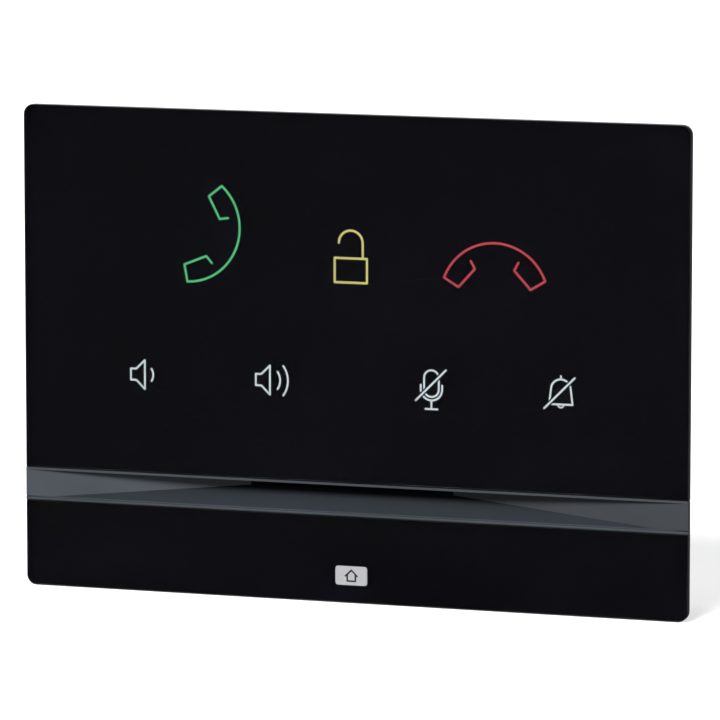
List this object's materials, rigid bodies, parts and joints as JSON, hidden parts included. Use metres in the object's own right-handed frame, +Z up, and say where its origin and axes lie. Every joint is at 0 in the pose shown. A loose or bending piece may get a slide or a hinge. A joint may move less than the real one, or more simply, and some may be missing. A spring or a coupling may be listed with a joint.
{
  "type": "wall intercom answering unit",
  "caption": "Indoor wall intercom station: black glass touch front with lit symbols, recessed grey sound band, rear housing with connector bay, steel wall bracket.",
  "frame": {"origin": "centre of the bracket's four wall screw holes, on the wall face of the bracket", "axes": "+X to the right as seen from the front, +Y into the wall, +Z up; the glass faces -Y"},
  "size_m": [0.17, 0.031, 0.12],
  "materials": {
    "front_glass": "polished tempered glass",
    "black_ink": "black ceramic ink behind the glass",
    "green_ink": "translucent green ink, lit",
    "yellow_ink": "translucent yellow ink, lit",
    "red_ink": "translucent red ink, lit",
    "white_ink": "translucent white ink, lit",
    "badge_metal": "satin",
    "band_paint": "satin grey",
    "black_plastic": "fine texture",
    "acoustic_mesh": "woven",
    "clear_film": "clear polyester",
    "ivory_socket": "moulded",
    "white_plastic": "moulded",
    "led_yellow": "moulded",
    "solder_mask": "solder mask",
    "chip_black": "moulded",
    "ribbon": "satin",
    "ferrite": "pressed",
    "can_sleeve": "shrink sleeve",
    "tin_plate": "tin plated",
    "zinc_screw": "zinc plated",
    "jack_plastic": "moulded",
    "gold_contact": "gold plated",
    "terminal_green": "moulded",
    "switch_grey": "moulded",
    "button_red": "moulded",
    "speaker_metal": "black",
    "magnet_steel": "zinc plated",
    "paper_cone": "pressed paper",
    "soft_rubber": "soft",
    "red_wire": "insulated",
    "label": "blank satin label",
    "bracket_steel": "zinc plated sheet"
  },
  "bodies": {
    "bracket": {"wall_bracket": "bracket_steel", "bracket_pads": "soft_rubber"},
    "station": {"rear_housing": "black_plastic", "rating_label": "label", "housing_screws": "zinc_screw", "front_carrier": "black_plastic", "speaker_band": "band_paint", "slot_mesh": "acoustic_mesh", "upper_glass": "front_glass", "lower_glass": "front_glass", "upper_ink_mask": "black_ink", "lower_ink_mask": "black_ink", "call_symbol": "green_ink", "unlock_symbol": "yellow_ink", "hang_up_symbol": "red_ink", "volume_down_symbol": "white_ink", "volume_up_symbol": "white_ink", "mic_mute_symbol": "white_ink", "bell_mute_symbol": "white_ink", "badge": "badge_metal", "touch_film": "clear_film", "touch_film_socket": "ivory_socket", "symbol_diffusers": "white_plastic", "light_box": "white_plastic", "led_board": "solder_mask", "symbol_leds": "led_yellow", "touch_controller": "chip_black", "ribbon_cable": "ribbon", "ribbon_sockets": "ivory_socket", "main_board": "solder_mask", "board_screws": "zinc_screw", "processor": "chip_black", "memory_chip": "chip_black", "shield_can": "tin_plate", "poe_transformer": "chip_black", "power_inductor": "ferrite", "capacitors": "can_sleeve", "ethernet_jack": "jack_plastic", "jack_contacts": "gold_contact", "power_header": "terminal_green", "power_header_pins": "tin_plate", "input_header": "terminal_green", "input_header_pins": "tin_plate", "reset_switch": "switch_grey", "speaker_frame": "speaker_metal", "speaker_magnet": "magnet_steel", "speaker_gasket": "soft_rubber", "speaker_screws": "zinc_screw", "speaker_wires": "red_wire", "speaker_socket": "ivory_socket", "mic_boot": "soft_rubber", "microphone": "tin_plate"},
    "power_plug": {"power_plug": "terminal_green", "power_plug_screws": "zinc_screw"},
    "input_plug": {"input_plug": "terminal_green", "input_plug_screws": "zinc_screw"},
    "reset_button": {"reset_button": "button_red"},
    "speaker_cone": {"speaker_cone": "paper_cone", "speaker_surround": "soft_rubber"}
  },
  "joints": [
    {"name": "station_lift", "type": "slide", "parent": "bracket", "child": "station", "axis": [0, 0, 1], "range_m": [0, 0.006]},
    {"name": "power_plug_pull", "type": "slide", "parent": "station", "child": "power_plug", "axis": [0, 0, -1], "range_m": [0, 0.0082]},
    {"name": "input_plug_pull", "type": "slide", "parent": "station", "child": "input_plug", "axis": [0, 0, -1], "range_m": [0, 0.0082]},
    {"name": "reset_press", "type": "slide", "parent": "station", "child": "reset_button", "axis": [0, -1, 0], "range_m": [0, 0.0005], "stiffness_N_per_m": 300, "springref_m": -0.0005},
    {"name": "cone_stroke", "type": "slide", "parent": "station", "child": "speaker_cone", "axis": [0, -1, 0], "range_m": [-0.0004, 0.0004], "stiffness_N_per_m": 600}
  ]
}
